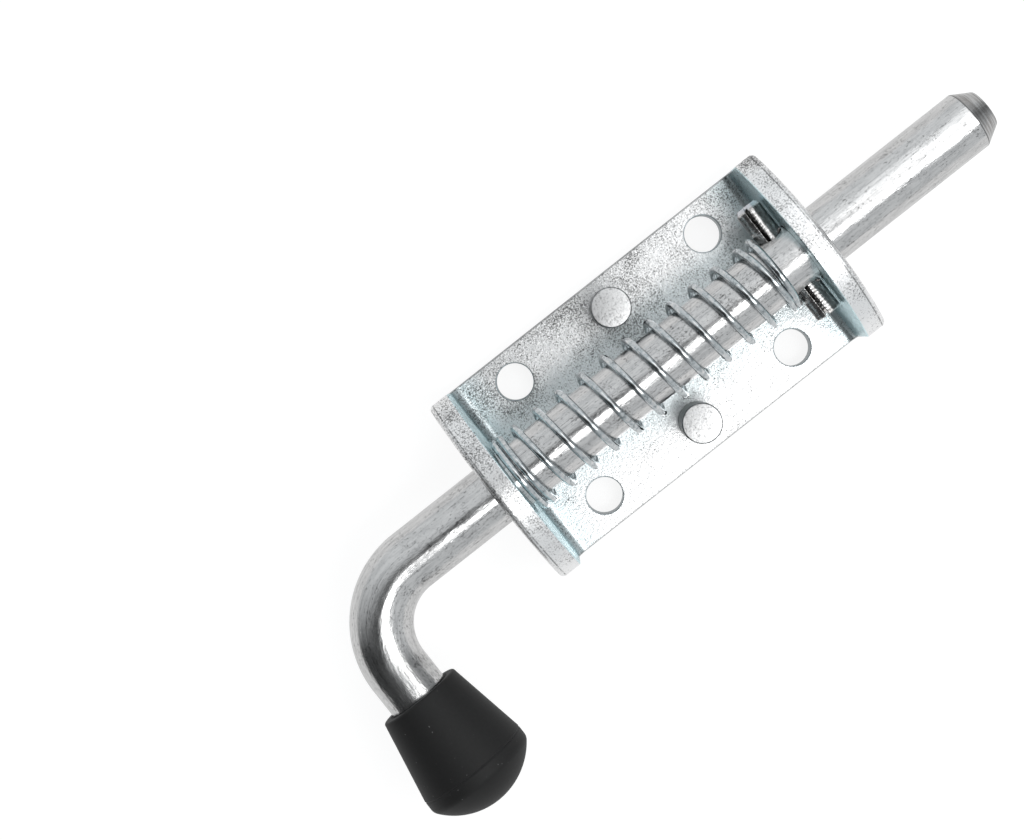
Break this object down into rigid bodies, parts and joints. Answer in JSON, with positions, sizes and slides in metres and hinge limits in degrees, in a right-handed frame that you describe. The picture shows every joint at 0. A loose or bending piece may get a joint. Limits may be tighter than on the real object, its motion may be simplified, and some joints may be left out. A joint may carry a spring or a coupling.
{
  "type": "spring latch pin",
  "caption": "Bent rod that a coil spring holds out of a folded steel bracket, with a cross pin, hold-open studs and a rubber-capped handle.",
  "frame": {"origin": "middle of the bracket plate's underside, the face that bolts to the gate", "axes": "+X along the rod to its working tip, +Z out of the plate, handle arm towards -Y"},
  "size_m": [0.1709, 0.069, 0.0312],
  "materials": {
    "bright_zinc": "bright zinc plate over rolled sheet, speckled satin",
    "stud_zinc": "bright zinc plate, turned",
    "rod_zinc": "bright zinc plate over drawn bar, fine lengthways streaks",
    "dark_steel": "dark polished spring steel",
    "spring_steel": "bright zinc plate over spring wire",
    "black_rubber": "matte moulded rubber"
  },
  "bodies": {
    "bracket_body": {"bracket": "bright_zinc", "stop_stud_left": "stud_zinc", "stop_stud_right": "stud_zinc"},
    "spring_body": {"spring": "spring_steel"},
    "rod_body": {"latch_rod": "rod_zinc", "roll_pin": "dark_steel", "handle_cap": "black_rubber"}
  },
  "joints": [
    {"name": "handle_turn", "type": "hinge", "parent": "bracket_body", "child": "spring_body", "pos_m": [0, 0, 0.0195], "axis": [-1, 0, 0], "range_deg": [0, 180]},
    {"name": "rod_slide", "type": "slide", "parent": "spring_body", "child": "rod_body", "axis": [-1, 0, 0], "range_m": [0, 0.041], "stiffness_N_per_m": 1000, "springref_m": -0.024, "deforming": ["spring"]}
  ]
}
